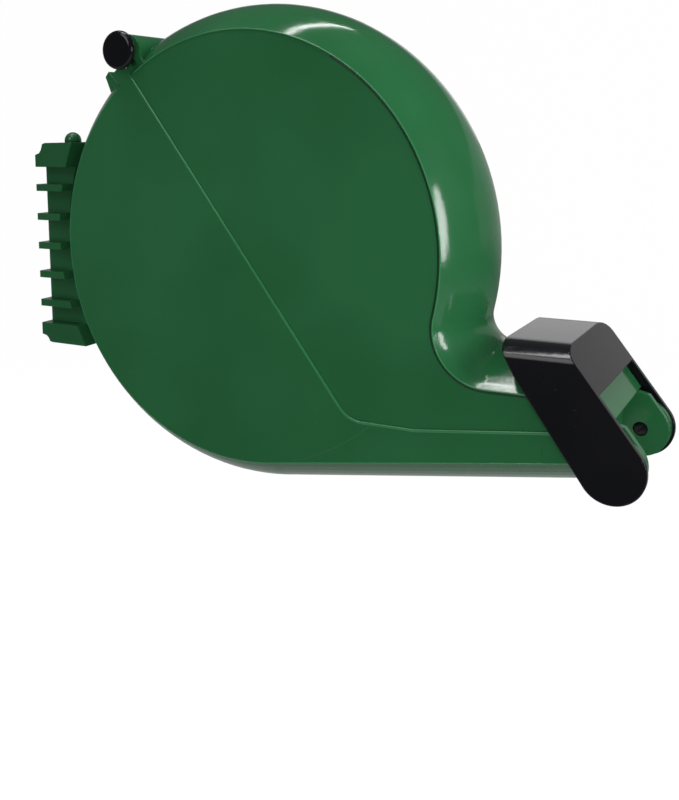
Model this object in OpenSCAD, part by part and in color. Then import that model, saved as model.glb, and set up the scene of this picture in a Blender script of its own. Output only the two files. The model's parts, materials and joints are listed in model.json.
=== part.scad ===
// Wall-held ticket dispenser: a snail-shaped drum in two shells that hinge at the nose.
// Millimetres. +X is the nose, +Z is up, and the near side panel faces -Y.
// The origin is the middle of the bracket's wall face.

/* [Drum] */
// Radius of the drum at the crest of its rim
drum_r = 100; // [80:1:120]
// Room beside the tickets on each side, up to the outside of a side panel
side_room = 8; // [7:0.5:12]
// How far the rim falls from its crest to the edge of a side panel
crown = 12; // [6:0.5:16]
// Wall thickness of both shells
wall = 2.4; // [1.6:0.1:3]
// Distance from the wall to the rim of the drum
rim_stand = 18; // [16:0.5:24]
// Height of the drum's axis above the middle of the bracket
drum_z = 5; // [-10:1:20]
// Step of the lid's side panels below the rim
panel_step = 0.5; // [0.2:0.1:0.8]

/* [Seam] */
// Distance of the straight seam from the drum's axis, towards the lid
seam_offset = 2.2; // [1:0.1:4]
// Slope of the straight seam, measured down from level
seam_slope = 53.2; // [45:0.1:60]
// Radius of the bend where the seam turns into the neck
seam_bend_r = 12; // [6:1:20]
// Height of the locating lip that the base holds inside the lid
lip_h = 1.8; // [1:0.1:3]

/* [Neck] */
// Distance of the hinge pins ahead of the drum's foremost point
neck_reach = 49.8; // [44:0.1:65]
// Height of the hinge pins above the drum's lowest point
hinge_rise = 33; // [30:0.5:36]
// Radius of the ears round the hinge pins
ear_r = 10.7; // [9:0.1:12]
// How much wider than the tickets the mouth is
mouth_play = 3; // [2:0.5:5]
// Radius of the hollow curve between drum and neck, at the crest
throat_r = 8; // [5:0.5:14]
// Angle of the hollow curve's centre below level, seen from the drum's axis
throat_angle = 13.5; // [10:0.5:18]
// Rise of the neck's floor towards the nose, in degrees
floor_rise = 9; // [6:0.5:12]
// Rise of the seam along the neck, in degrees
seam_rise = 7; // [4:0.5:9]
// Height of the neck's seam above the drum's lowest point, under the end of the drum
neck_seam_rise = 36.2; // [34:0.1:40]
// Depth of the shallow step in the neck's floor
floor_step = 2; // [1:0.1:3]

/* [Mouth cap] */
// Wall thickness of the black cap
cap_wall = 2.6; // [2:0.1:3.5]
// Clearance between the cap and the ears beside it
cap_gap = 0.3; // [0.2:0.05:0.6]
// Height of the cap's top face over the top of the neck
cap_rise = 6.2; // [5:0.1:9]
// Width of the curved shoulder along the cap's top
cap_shoulder = 12.5; // [8:0.5:14]
// Height of the curved shoulder
shoulder_h = 4.8; // [4:0.1:8]
// Radius of the rounded lower end of the cap's legs
leg_end_r = 11.4; // [11.2:0.1:14]
// Slope of the nose and of the front of the cap's legs, measured down from level
front_slope = 53; // [50:0.5:58]
// Slope of the back of the cap's legs, measured down from level
back_slope = 56; // [53:0.5:60]

/* [Hinge pins] */
// Diameter of the stub pins that carry the lid and the cap
hinge_pin_d = 5.4; // [4:0.1:7]
// Radial clearance of a turning pin in its hole
pin_gap = 0.08; // [0.04:0.01:0.1]

/* [Wall bracket] */
// Width of the bracket across its ribs
bracket_w = 34; // [30:1:40]
// Number of ribs, with the two flanges
rib_count = 7; // [5:1:9]
// Distance from one rib to the next
rib_pitch = 13.7; // [12:0.1:16]
// Thickness of a rib
rib_t = 3.2; // [2:0.1:5]
// Thickness of the top and bottom flanges at the wall
flange_t = 5.6; // [4:0.1:8]
// Height of the top flange above its outer end at the wall
flange_rise = 5.6; // [3:0.1:7]
// Depth of the bottom flange below its outer end at the wall
flange_fall = 3.6; // [2:0.1:5]
// Half the width of the channel that takes the knuckles
channel_half = 7.4; // [7:0.1:9]
// Thickness of the channel's side webs and back
web_t = 2.6; // [2:0.1:3]
// Distance of the upright pin ahead of the wall
swivel_x = 8.5; // [8.2:0.1:12]
// Running gap between the bracket and the drum's rim
rim_gap = 4.5; // [4:0.1:8]
// Distance between the two wall screw holes
screw_spacing = 45; // [30:1:50]
// Diameter of the wall screw holes
wall_hole_d = 4.6; // [4:0.1:5.5]

/* [Swivel] */
// Diameter of the upright pin
swivel_pin_d = 4.5; // [4:0.1:5]
// Diameter of the pin's domed head
pin_head_d = 8; // [7:0.1:10]
// Radius of the knuckles round the pin
knuckle_r = 5; // [4.4:0.1:5.5]
// Height of each knuckle
knuckle_h = 11; // [8:0.5:14]
// Thickness of a swivel washer
washer_t = 1.2; // [0.8:0.1:2]

/* [Latch] */
// Distance of the latch rod from the seam
latch_lift = 4.5; // [3.5:0.1:6]
// Depth of the latch rod below the crest of the rim
latch_sink = 2.4; // [0:0.1:4]
// Radius of the lug that holds the latch rod
lug_r = 7; // [6:0.1:8]
// Diameter of the black button
button_d = 16.2; // [12:0.1:17]
// Thickness of the button's head
button_h = 3.6; // [3:0.1:8]
// How far the button can be pressed
latch_travel = 3; // [2:0.5:5]
// Diameter of the latch rod
latch_rod_d = 4; // [3:0.1:5]
// Wire diameter of the latch spring
spring_wire = 0.7; // [0.5:0.1:0.9]

/* [Ticket roll] */
// Width of the tickets
ticket_w = 40; // [32:1:42]
// Outer radius of the roll
roll_r = 45; // [35:1:60]
// Inner radius of the cardboard core
core_bore_r = 20; // [15:0.5:25]
// Thickness of the cardboard core
core_t = 2; // [1:0.1:3]
// Radius of the roll's spindle
spindle_r = 5; // [4:0.1:6]
// Length of a hub's plug in the core
hub_depth = 8; // [5:0.5:15]
// Radius of the round windows in a hub
hub_window_r = 3.6; // [2:0.1:4.5]
// Thickness of the paper strip
paper_t = 0.3; // [0.2:0.05:0.5]

/* [Guides] */
// Distance of the guide roller behind the drum's foremost point
roller_back = 8; // [4:0.5:12]
// Height of the guide roller's axle above the drum's lowest point
roller_rise = 34; // [33:0.25:35]
// Radius of the guide roller
roller_r = 4.6; // [4:0.1:5]
// Diameter of the guide roller's axle
axle_d = 3; // [2:0.1:3.5]
// Thickness of the guide plate and of the brake leaf's seat
plate_t = 1.2; // [0.8:0.1:1.6]
// Thickness of the brake leaf
leaf_t = 0.5; // [0.3:0.05:0.8]
// Width of the brake leaf
leaf_w = 22; // [14:1:30]

/* [Hidden] */
$fn = 64;

green = [0.13, 0.42, 0.22];
black = [0.05, 0.05, 0.06];
steel = [0.72, 0.73, 0.75];
white = [0.93, 0.93, 0.91];
card = [0.62, 0.52, 0.38];

// Shared clearances
slack = 0.3;
lip_t = 1.2;
lip_root = 3.1;                           // how far the lip reaches down inside the base
screw_d = 2;
screw_head_d = 1.8 * screw_d;
screw_head_h = 1.1;
screw_hold = 3.5;                         // length of a screw in what it holds to
cut = 1;                                  // how far a cutting shape runs past its face

// Half widths, from the mid plane outwards
half = ticket_w / 2 + side_room;
lid_ear_in = (ticket_w + mouth_play) / 2;
ear_split = (lid_ear_in + half) / 2;      // lid ears lie inside it, base ears outside
lip_in = half - wall - slack - lip_t;
cap_in = half + cap_gap;
cap_out = cap_in + cap_wall;

// The neck, measured from the drum's axis
drum_x = drum_r + rim_stand;
hinge_x = drum_r + neck_reach;
hinge_z = hinge_rise - drum_r;
throat_dist = drum_r + throat_r;
throat = [throat_dist * cos(throat_angle), -throat_dist * sin(throat_angle)];
neck_top = throat[1] - throat_r;
floor_start = [drum_r * sin(floor_rise), -drum_r * cos(floor_rise)];
step_x = throat[0] - 1;
neck_relief = 0.1;                        // the neck's side walls lie this far inside the drum's
front_dir = [cos(front_slope), -sin(front_slope)];
front_out = [sin(front_slope), cos(front_slope)];
back_out = [sin(back_slope), cos(back_slope)];
nose_x = hinge_x - ear_r + 4;             // front wall of the nose, behind the pins
cap_front = ear_r + 0.4;                  // cap's front face, from the hinge axis
nose_front = cap_front - cap_wall - slack;
nose_bend_z = hinge_z + 15;               // the nose's front falls straight below this height

// The seam
seam_dir = [cos(seam_slope), -sin(seam_slope)];
seam_out = [sin(seam_slope), cos(seam_slope)];
neck_seam = [drum_r - 22.5, neck_seam_rise - drum_r];
function neck_seam_z(x) = neck_seam[1] + (x - neck_seam[0]) * tan(seam_rise);
function seam_point(s) = seam_offset * seam_out + s * seam_dir;
function line_cross(p, d, q, e) =
    p + d * (((q - p) * [e[1], -e[0]]) / (d * [e[1], -e[0]]));
seam_knee = line_cross(seam_point(0), seam_dir, neck_seam, [1, 0]);
knee_reach = seam_bend_r * tan(seam_slope / 2);
knee_centre = [seam_knee[0] + knee_reach, seam_knee[1] + seam_bend_r];
lip_end_r = drum_r - crown - 6;           // the lip ends short of the drum's rim
lip_neck = [neck_seam[0] - 19.5, throat[0] + 1];
far_out = 3 * drum_r;

// The upright pin and the bracket, in the drum's frame
bracket_back = -drum_x;
pin_x = bracket_back + swivel_x;
rib_span = (rib_count - 1) * rib_pitch;
arm_w = 7;                                // width of a knuckle's arm
rib_top = -drum_z + rib_span / 2 + rib_t / 2;
rib_foot = -drum_z - rib_span / 2 - rib_t / 2;
bracket_top = rib_top + flange_rise;
bracket_foot = rib_foot - flange_fall;
flange_back = 4.2;                        // the raised part of a flange stands off the wall by this
pin_foot = bracket_foot - 4.2;
knuckle_tops = [rib_top - flange_t - washer_t, rib_foot + flange_t + washer_t + knuckle_h];

// The latch
latch_off = seam_offset + latch_lift;
latch = latch_off * seam_out
        - sqrt(pow(drum_r - latch_sink, 2) - pow(latch_off, 2)) * seam_dir;
catch_half = 4;
lug_half = half - panel_step;
spring_bore_r = 4.4;
spring_len = 9.5;
shank_in = 1;                             // how deep the button's shank reaches into the lug
button_back = lug_half + slack + latch_travel;
latch_angle = atan2(latch[1], latch[0]);
keeper_angle = latch_angle + 10.2;
keeper_half = 20;
edge_r = 1.8;                             // rounding of the button's rim
corner_r = drum_r - crown + 6.5;          // the base's corners beside the latch reach up to here
spring_turns = 5;
spring_steps = 10;
spring_play = 0.1;
spring_mean_r = latch_rod_d / 2 + slack + spring_wire / 2 + 0.25;
spring_y0 = -lug_half + shank_in + spring_wire / 2 + spring_play;
spring_rise = spring_len - spring_wire - 2 * spring_play;

// The roll and the strip's way to the mouth
core_r = core_bore_r + core_t;
hub_flange_t = 1.6;
hub_wall = 2;
hub_flange_r = core_r + 6;
cradle_in = half - wall - 3;
roller = [drum_r - roller_back, roller_rise - drum_r];
lay = paper_t / 2;
strip_side_r = roll_r + slack + lay;
strip_roller_r = roller_r + slack + lay;
roller_dist = norm(roller);
roller_angle = atan2(roller[1], roller[0]);
strip_angle = roller_angle - acos((strip_side_r + strip_roller_r) / roller_dist);
strip_leaves = strip_side_r * [cos(strip_angle), sin(strip_angle)];
strip_meets = roller - strip_roller_r * [cos(strip_angle), sin(strip_angle)];
plate_fall = 10.5;                        // a little steeper than the strip's way in
plate_start = roller[0] + roller_r + 1.5;
plate_end = nose_x + 3;
function strip_z(x) =
    roller[1] + strip_roller_r / cos(plate_fall) - (x - roller[0]) * tan(plate_fall);
function plate_z(x) = strip_z(x) - lay - slack / 2;
strip_end = plate_end + 1;
mouth_top = plate_z(nose_x) + 5;
plate_w = 2 * (lip_in - slack);
plate_front_w = ticket_w + 1;
plate_wide_len = 27;
guide_screw_x = plate_start + 9;

// The brake leaf under the neck's ceiling, and the seat it is screwed to
seat_x0 = throat[0] - 1;
seat_x1 = seat_x0 + 13;
seat_z = neck_top - wall - 4;
leaf_touch_x = nose_x - 12;

// The lid's inner ribs and the black cap
rib_place = 11;
cap_back = throat[0] + 5.2;
cap_top = neck_top + cap_rise;
web_reach = 22.7;

// Draws its children's outline from y0 to y1, with the outline's second axis pointing up
module across(y0, y1)
    translate([0, y1, 0])
        rotate([90, 0, 0])
            linear_extrude(y1 - y0)
                children();

// Draws its children on both sides of the mid plane, from y0 out to y1
module both_sides(y0, y1) {
    across(y0, y1) children();
    across(-y1, -y0) children();
}

// Turns a profile of [radius, y] round the axis through p, across the housing
module turned_at(p)
    translate([p[0], 0, p[1]])
        rotate([-90, 0, 0])
            rotate_extrude($fn = 128)
                children();

module disc_at(p, r, y0, y1)
    translate([p[0], y1, p[1]])
        rotate([90, 0, 0])
            cylinder(h = y1 - y0, r = r);

module ring_at(p, r, bore, y0, y1)
    difference() {
        disc_at(p, r, y0, y1);
        disc_at(p, bore, y0 - cut, y1 + cut);
    }

// Moves what is drawn from the drum's axis into the part's own frame
module in_place()
    translate([drum_x, 0, drum_z])
        children();

// ---- the housing's outer form, and the same form moved in by a wall ----

// The rim's section is an arc over the whole width, w to each side of the mid plane
function crown_r(w) = (w * w + crown * crown) / (2 * crown);
function crown_drop(y, w) = crown_r(w) - sqrt(pow(crown_r(w), 2) - y * y);
crown_steps = 9;
function crown_ys(w) = [for (i = [-crown_steps : crown_steps])
                        crown_r(w) * sin(asin(w / crown_r(w)) * i / crown_steps)];

module drum_form(inset) {
    w = half - inset;
    r = drum_r - inset;
    turned_at([0, 0])
        polygon(concat([[0, -w]], [for (y = crown_ys(w)) [r - crown_drop(y, w), y]], [[0, w]]));
}

// Half width of the neck, whose side walls lie a hair inside the drum's
function neck_half(inset) = half - neck_relief - inset;

// A bar along X whose upper face is crowned across Y; z is the height of its crest
module crowned_bar(inset, z, length, depth) {
    w = neck_half(inset);
    translate([0, 0, z])
        rotate([90, 0, 90])
            linear_extrude(length)
                polygon(concat([[-w, -depth]], [for (y = crown_ys(w)) [y, -crown_drop(y, w)]],
                               [[w, -depth]]));
}

// The nose seen from the side: its front falls along the cap's legs, then drops to the floor
module nose_outline(inset) {
    n = nose_front - inset;
    top = line_cross([hinge_x, hinge_z] + n * front_out, front_dir, [0, neck_top], [1, 0]);
    low = line_cross([hinge_x, hinge_z] + n * front_out, front_dir, [0, nose_bend_z], [1, 0]);
    polygon([[20, neck_top + 5], top + 5 * [-cos(front_slope), sin(front_slope)], top, low,
             [nose_x - inset, hinge_z + 8.5], [nose_x - inset, -drum_r], [20, -drum_r]]);
}

module neck_form(inset)
    intersection() {
        across(-half, half) nose_outline(inset);
        crowned_bar(inset, neck_top - inset, far_out, drum_r);
        translate([floor_start[0], 0, floor_start[1]])
            rotate([0, -floor_rise, 0])
                mirror([0, 0, 1])
                    crowned_bar(inset, -inset, far_out, drum_r);
    }

// Fills the corner between drum and neck, less the turned hollow curve
module throat_form(inset) {
    w = neck_half(inset);
    difference() {
        across(-w, w)
            polygon([[0, 0], throat * (drum_r - crown) / throat_dist, throat,
                     [throat[0], neck_top - crown], [throat[0], neck_top - crown - 10],
                     [drum_r / 2, -drum_r / 2]]);
        turned_at(throat)
            polygon(concat([[0, -half - cut]], [[throat_r + inset + crown, -half - cut]],
                           [for (y = crown_ys(w)) [throat_r + inset + crown_drop(y, w), y]],
                           [[throat_r + inset + crown, half + cut], [0, half + cut]]));
    }
}

module housing_form(inset) {
    drum_form(inset);
    neck_form(inset);
    throat_form(inset);
}

module housing_skin()
    difference() {
        housing_form(0);
        housing_form(wall);
    }

// Everything on the lid's side of the seam; shift moves the seam towards the lid
module lid_side(shift) {
    a = seam_point(-far_out) + shift * seam_out;
    k = knee_centre + [0, shift];
    bend = [for (i = [0 : 8]) let(t = 270 - seam_slope + seam_slope * i / 8)
            k + seam_bend_r * [cos(t), sin(t)]];
    polygon(concat([a], bend,
                   [neck_seam + [0, shift],
                    [far_out, neck_seam_z(far_out) + shift], [far_out, far_out]]));
}

module base_side(shift)
    difference() {
        square(4 * drum_r, center = true);
        lid_side(shift);
    }

// ---- wall bracket and its upright pin ----

module upright(r, z0, z1)
    translate([pin_x, 0, z0])
        cylinder(h = z1 - z0, r = r);

module bracket_plate(z, t, w, reach)
    translate([bracket_back, -w / 2, z])
        cube([reach, w, t]);

// A flange seen from the side; its outer face steps off the wall and runs on to the drum
module flange_outline(inner, at_wall, outer, reach) {
    step = outer - at_wall;
    polygon([[bracket_back, inner], [bracket_back, at_wall],
             [bracket_back + 0.6 * flange_back, at_wall + 0.15 * step],
             [bracket_back + 0.9 * flange_back, at_wall + 0.45 * step],
             [bracket_back + 1.1 * flange_back, at_wall + 0.9 * step],
             [bracket_back + 1.5 * flange_back, outer],
             [bracket_back + reach, outer], [bracket_back + reach, inner]]);
}

module wall_bracket() {
    reach = drum_x - sqrt(pow(drum_r, 2) - pow(rib_span / 2, 2)) + crown;
    color(green)
        in_place()
            difference() {
                union() {
                    // back and side webs of the channel
                    bracket_plate(rib_foot, rib_top - rib_foot,
                                  2 * (channel_half + web_t), reach);
                    for (i = [1 : rib_count - 2])
                        bracket_plate(rib_foot + i * rib_pitch, rib_t, bracket_w, reach);
                    // flanges, with a boss round the foot of the pin
                    across(-bracket_w / 2, bracket_w / 2) {
                        flange_outline(rib_top - flange_t, rib_top, bracket_top, reach);
                        flange_outline(rib_foot + flange_t, rib_foot, bracket_foot, reach);
                    }
                    upright(pin_head_d / 2 + 1.5, bracket_foot - 1.6, bracket_foot + 1);
                }
                // the channel between the flanges
                translate([bracket_back + web_t, -channel_half, rib_foot + flange_t])
                    cube([reach, 2 * channel_half, rib_top - rib_foot - 2 * flange_t]);
                // room for the drum's rim
                disc_at([0, 0], drum_r + rim_gap, -bracket_w, bracket_w);
                upright(swivel_pin_d / 2 + pin_gap, bracket_foot - 5, bracket_top + 5);
                for (s = [-1, 1])
                    translate([bracket_back - cut, 0, -drum_z + s * screw_spacing / 2])
                        rotate([0, 90, 0])
                            cylinder(h = web_t + 2 * cut, d = wall_hole_d);
            }
}

module bracket_pin()
    color(green)
        in_place() {
            upright(swivel_pin_d / 2, pin_foot, bracket_top + 0.5);
            // domed head
            translate([pin_x, 0, bracket_top])
                rotate_extrude()
                    intersection() {
                        translate([0, pin_head_d * 0.1])
                            circle(d = pin_head_d);
                        square([pin_head_d, pin_head_d]);
                    }
        }

module pin_clip()
    color(steel)
        in_place()
            difference() {
                upright(pin_head_d / 2, bracket_foot - 2.6, bracket_foot - 1.6);
                upright(swivel_pin_d / 2, bracket_foot - 5, bracket_foot);
            }

module swivel_washers()
    color(white)
        in_place()
            for (z = [rib_top - flange_t - washer_t, rib_foot + flange_t])
                difference() {
                    upright(knuckle_r + 0.4, z, z + washer_t);
                    upright(swivel_pin_d / 2 + pin_gap, z - cut, z + washer_t + cut);
                }

// ---- base shell ----

// One knuckle behind the rim, with its arm to the drum
module knuckle(top)
    difference() {
        union() {
            upright(knuckle_r, top - knuckle_h, top);
            translate([pin_x, -arm_w / 2, top - knuckle_h])
                cube([drum_x - drum_r + crown + 6, arm_w, knuckle_h]);
        }
        upright(swivel_pin_d / 2 + pin_gap, top - knuckle_h - cut, top + cut);
        disc_at([0, 0], drum_r - wall / 2, -half, half);
    }

// Open half bearing for the roll's spindle, on the inside of a base panel
module cradle(y0, y1)
    difference() {
        union() {
            disc_at([0, 0], spindle_r + 4, y0, y1);
            across(y0, y1)
                rotate(-seam_slope)
                    translate([-spindle_r - 4, -30])
                        square([2 * (spindle_r + 4), 30]);
        }
        // keeps off the lid's wall beyond the seam
        both_sides(half - wall - slack, half) lid_side(-slack);
    }

// Ear of the base round a hinge pin, with the web that joins it to the neck
module base_ear_outline() {
    translate([hinge_x, hinge_z])
        circle(r = ear_r);
    polygon([[hinge_x - 24, neck_seam_z(hinge_x - 24) - 0.1],
             [hinge_x - 4, neck_seam_z(hinge_x - 4) - 0.1],
             [hinge_x, hinge_z + ear_r - 1], [hinge_x, hinge_z], [hinge_x - ear_r + 0.3, hinge_z],
             [hinge_x - 24, panel_edge_z(hinge_x - 24)]]);
}

// Lower edge of the neck's side walls
function panel_edge_z(x) = floor_start[1] + crown + (x - floor_start[0]) * tan(floor_rise);

// Corner of a side panel beside the latch, up to the lip
module base_corners()
    both_sides(half - wall, half)
        intersection() {
            base_side(0);
            ring_piece(drum_r - crown - 2, corner_r, latch_angle, keeper_angle - 3);
        }

// Locating lip along the seam: thin strips inside the side walls of the drum and of the neck
module seam_lip()
    for (strip = [[lip_h, half - wall - slack], [-slack, half - wall + slack]])
        both_sides(lip_in, strip[1]) {
            intersection() {
                seam_band(strip[0]);
                circle(r = lip_end_r);
            }
            intersection() {
                seam_band(strip[0]);
                translate([lip_neck[0], -drum_r])
                    square([lip_neck[1] - lip_neck[0], drum_r]);
            }
        }

module seam_band(above)
    difference() {
        base_side(above);
        base_side(-lip_root);
    }

module base_shell()
    color(green)
        in_place()
            difference() {
                union() {
                    intersection() {
                        housing_skin();
                        across(-half - cut, half + cut) base_side(0);
                    }
                    seam_lip();
                    both_sides(ear_split + slack / 2, half) base_ear_outline();
                    for (top = knuckle_tops) knuckle(top);
                    cradle(cradle_in, half - wall + slack);
                    mirror([0, 1, 0]) cradle(cradle_in, half - wall + slack);
                    keeper();
                    base_corners();
                    roller_bosses();
                    plate_ledges();
                }
                both_sides(ear_split, half + cut)
                    translate([hinge_x, hinge_z])
                        circle(d = hinge_pin_d + 2 * pin_gap);
                // the lid's ears turn between the base's
                both_sides(lid_ear_in - slack, ear_split + slack / 2)
                    translate([hinge_x, hinge_z])
                        circle(r = ear_r + slack);
                // the mouth above the guide plate, and the lid's ears beside it
                across(-plate_front_w / 2 - slack / 2, plate_front_w / 2 + slack / 2)
                    polygon([[plate_end - 20, plate_z(plate_end - 20) - plate_t],
                             [plate_end, plate_z(plate_end) - plate_t],
                             [far_out, plate_z(plate_end)], [far_out, 0],
                             [plate_end - 20, plate_z(plate_end - 20)]]);
                across(-ear_split - slack / 2, ear_split + slack / 2)
                    translate([nose_x - wall - 3, mouth_top - slack])
                        square([20, 20]);
                // seats of the roll's spindle, open towards the lid
                across(-half + wall, half - wall)
                    rotate(-seam_slope) {
                        circle(r = spindle_r + pin_gap);
                        translate([-spindle_r - pin_gap, 0])
                            square([2 * (spindle_r + pin_gap), 30]);
                    }
                // seats of the guide roller's axle, open at the top
                across(-half + wall / 2, half - wall / 2)
                    translate(roller) {
                        circle(d = axle_d);
                        translate([-axle_d / 2, 0])
                            square([axle_d, 20]);
                    }
                for (s = [-1, 1]) guide_screw_at(s) cylinder(h = plate_t + screw_hold, d = screw_d);
                disc_at(latch, lug_r + slack, -half - cut, half + cut);
                base_step();
            }

// The shallow step up in the neck's floor
module base_step()
    translate([step_x, 0, floor_start[1] + (step_x - floor_start[0]) * tan(floor_rise)])
        rotate([0, -floor_rise, 0])
            translate([0, -half - cut, -20])
                cube([nose_x - step_x + 10, 2 * (half + cut), 20 + floor_step - wall * 0.2]);

// A piece of a ring round the drum's axis, between two angles
module ring_piece(r0, r1, a0, a1)
    polygon(concat([for (i = [0 : 6]) let(t = a0 + (a1 - a0) * i / 6) r1 * [cos(t), sin(t)]],
                   [for (i = [6 : -1 : 0]) let(t = a0 + (a1 - a0) * i / 6) r0 * [cos(t), sin(t)]]));

// Lip across the top of the base, that the latch's catch comes down to
module keeper()
    across(-keeper_half, keeper_half)
        polygon([(drum_r - 8) * [cos(keeper_angle), sin(keeper_angle)],
                 (drum_r - 8) * [cos(keeper_angle + 4), sin(keeper_angle + 4)],
                 (drum_r + 1.2) * [cos(keeper_angle + 1.6), sin(keeper_angle + 1.6)],
                 (drum_r + 1.6) * [cos(keeper_angle), sin(keeper_angle)]]);

module roller_bosses()
    intersection() {
        both_sides(half - wall - 2.6, half - 0.5)
            translate(roller) {
                circle(r = axle_d / 2 + 2.2);
                translate([-axle_d / 2 - 2.2, -14])
                    square([axle_d + 4.4, 14]);
            }
        housing_form(wall / 2);
    }

// Two ledges along the neck that the guide plate is screwed to
module plate_ledges()
    intersection() {
        across(-half, half)
            polygon([[plate_start, plate_z(plate_start) - plate_t],
                     [plate_end - 8, plate_z(plate_end - 8) - plate_t],
                     [plate_end - 8, plate_z(plate_end - 8) - plate_t - 5],
                     [plate_start, plate_z(plate_start) - plate_t - 5]]);
        difference() {
            housing_form(wall / 2);
            translate([0, -ticket_w / 2 + 4, -drum_r])
                cube([far_out, ticket_w - 8, drum_r]);
        }
    }

// ---- lid shell ----

// Ear of the lid inside the base's ear, with a gusset up to the front wall
module lid_ear_outline() {
    pin = [hinge_x, hinge_z];
    r = ear_r - 0.2;
    translate(pin)
        circle(r = r);
    polygon([pin + r * front_out, pin + r * front_out - 9 * front_dir,
             pin + (nose_front - 1) * front_out - 13 * front_dir,
             pin + (nose_front - 1) * front_out - 24 * front_dir,
             pin - 6 * front_out - 24 * front_dir, pin - 6 * front_out - 13 * front_dir,
             pin - r * front_out]);
}

// Bar across the rear top, and the plates that carry its ends down to the side panels
module latch_lug() {
    disc_at(latch, lug_r, -lug_half, lug_half);
    both_sides(half - wall, lug_half)
        intersection() {
            lid_side(0);
            polygon([latch + [-lug_r, -1], latch + [-lug_r + 1, -12], latch + [10, -14],
                     latch + [9.5, -7], latch + [1.5, lug_r - 0.4]]);
        }
}

// The part of each side panel of the lid that lies a step below the rim
module lid_panel_outline()
    intersection() {
        lid_side(-cut);
        difference() {
            union() {
                circle(r = drum_r - crown - 0.3, $fn = 128);
                polygon([[0, 0], throat * (drum_r - crown) / throat_dist, throat,
                         [throat[0], neck_top - crown - 0.3],
                         [far_out, neck_top - crown - 0.3], [far_out, -drum_r], [0, -drum_r]]);
            }
            translate(throat)
                circle(r = throat_r + crown + 0.3);
        }
    }

// Block under the neck's ceiling that the brake leaf is screwed to
module brake_seat()
    intersection() {
        across(-leaf_w / 2, leaf_w / 2)
            translate([seat_x0, seat_z])
                square([seat_x1 - seat_x0, neck_top - seat_z]);
        housing_form(wall / 2);
    }

// Ribs inside the lid's rim, on the middle of the drum
module lid_ribs()
    for (y = [-rib_place, rib_place])
        intersection() {
            across(y - 0.8, y + 0.8)
                difference() {
                    circle(r = drum_r - wall, $fn = 128);
                    circle(r = drum_r - wall - 5.5, $fn = 128);
                }
            across(-half, half)
                intersection() {
                    lid_side(6);
                    polygon([[0, 0], [-drum_r / 2, drum_r], [drum_r, drum_r], [drum_r, 0]]);
                }
        }

module lid_shell()
    color(green)
        in_place()
            difference() {
                union() {
                    intersection() {
                        housing_skin();
                        across(-half - cut, half + cut) lid_side(0);
                    }
                    latch_lug();
                    both_sides(lid_ear_in, ear_split - slack / 2) lid_ear_outline();
                    // front wall between the ears, down to the mouth
                    across(-lid_ear_in - 1, lid_ear_in + 1)
                        translate([nose_x - wall, mouth_top])
                            square([wall, nose_bend_z + 2 - mouth_top]);
                    brake_seat();
                    lid_ribs();
                }
                both_sides(lid_ear_in - cut, ear_split)
                    translate([hinge_x, hinge_z])
                        circle(d = hinge_pin_d + 2 * pin_gap);
                // room over the ends of the guide roller's axle
                across(-half + wall / 2, half - wall / 2)
                    translate(roller) {
                        circle(d = axle_d + 2 * slack);
                        translate([-axle_d / 2 - slack, -20])
                            square([axle_d + 2 * slack, 20]);
                    }
                // the base's ears and the cap's legs turn beside the lid's
                both_sides(ear_split - slack / 2, half + cut)
                    translate([hinge_x, hinge_z])
                        circle(r = ear_r + slack);
                both_sides(half - panel_step, half + cut) lid_panel_outline();
                // latch: rod, spring and catch
                disc_at(latch, latch_rod_d / 2 + pin_gap, -half - cut, half + cut);
                disc_at(latch, spring_bore_r, -half - cut, -lug_half + shank_in + spring_len);
                across(-catch_half - slack, catch_half + latch_travel + slack) {
                    translate(latch)
                        circle(r = latch_rod_d + 0.6);
                    ring_piece(drum_r - 1.5, drum_r + 12, latch_angle - 2, latch_angle + 15);
                }
                for (s = [-1, 1]) brake_screw_at(s) cylinder(h = screw_hold, d = screw_d);
            }

// ---- mouth cap and hinge pins ----

// The cap's side form across its whole width: slanted legs with round ends under a level top
module cap_form() {
    leg_end = [hinge_x, hinge_z] - (leg_end_r - cap_front) * front_out + 0.6 * front_dir;
    front = line_cross([hinge_x, hinge_z] + cap_front * front_out, front_dir,
                       [0, cap_top], [1, 0]);
    disc_at(leg_end, leg_end_r, -cap_out, cap_out);
    across(-cap_out, cap_out)
        polygon([front, leg_end + (leg_end_r - 0.02) * front_out,
                 leg_end - (leg_end_r - 0.02) * back_out,
                 [cap_back + 5.7, cap_top - 11], [cap_back + 2, cap_top - 4],
                 [cap_back, cap_top]]);
}

// What lies under the cap's level top and its two curved shoulders
module under_shoulders(inset) {
    bend = [for (i = [0 : 5]) [cap_out - cap_shoulder + (cap_shoulder - inset) * cos(18 * i),
                               cap_top - shoulder_h + (shoulder_h - inset) * sin(18 * i)]];
    rotate([90, 0, 90])
        linear_extrude(far_out)
            polygon(concat([[cap_out - inset, -far_out]], bend,
                           [for (i = [5 : -1 : 0]) [-bend[i][0], bend[i][1]]],
                           [[inset - cap_out, -far_out]]));
}

module mouth_cap() {
    web_low = [hinge_x, hinge_z] + cap_front * front_out - web_reach * front_dir;
    color(black)
        in_place()
            difference() {
                intersection() {
                    cap_form();
                    under_shoulders(0);
                }
                // hollow over the nose, open below, at the back and between the legs
                intersection() {
                    across(-cap_in, cap_in)
                        polygon([[0, 0], web_low - drum_r * front_dir - cap_wall * front_out,
                                 web_low - cap_wall * front_out, web_low + 20 * front_out,
                                 [far_out, -far_out], [0, -far_out]]);
                    under_shoulders(cap_wall);
                }
                both_sides(cap_in - cut, cap_in + cap_wall - 1)
                    translate([hinge_x, hinge_z])
                        circle(d = hinge_pin_d);
            }
}

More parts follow.
